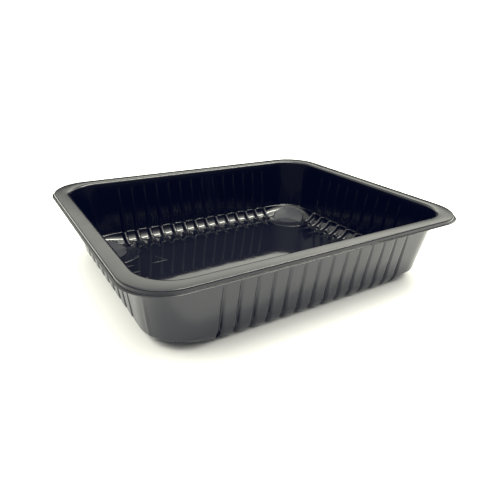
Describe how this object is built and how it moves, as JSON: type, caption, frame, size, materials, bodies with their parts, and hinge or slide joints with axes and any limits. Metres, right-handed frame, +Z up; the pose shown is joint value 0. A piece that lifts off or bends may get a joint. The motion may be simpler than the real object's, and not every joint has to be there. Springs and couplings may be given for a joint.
{
  "type": "food tray",
  "caption": "Shallow rectangular black plastic food tray with a flat sealing flange, grooved sloping walls, ribbed floor edge and round sloping facets in the bottom corners.",
  "frame": {"origin": "centre of the flat underside, on the surface the tray stands on", "axes": "+X along the long side, +Y along the short side, +Z up out of the open mouth"},
  "size_m": [0.325, 0.265, 0.0674],
  "materials": {
    "black_plastic": "soft gloss, thermoformed"
  },
  "bodies": {
    "root": {"tray": "black_plastic"}
  },
  "joints": []
}
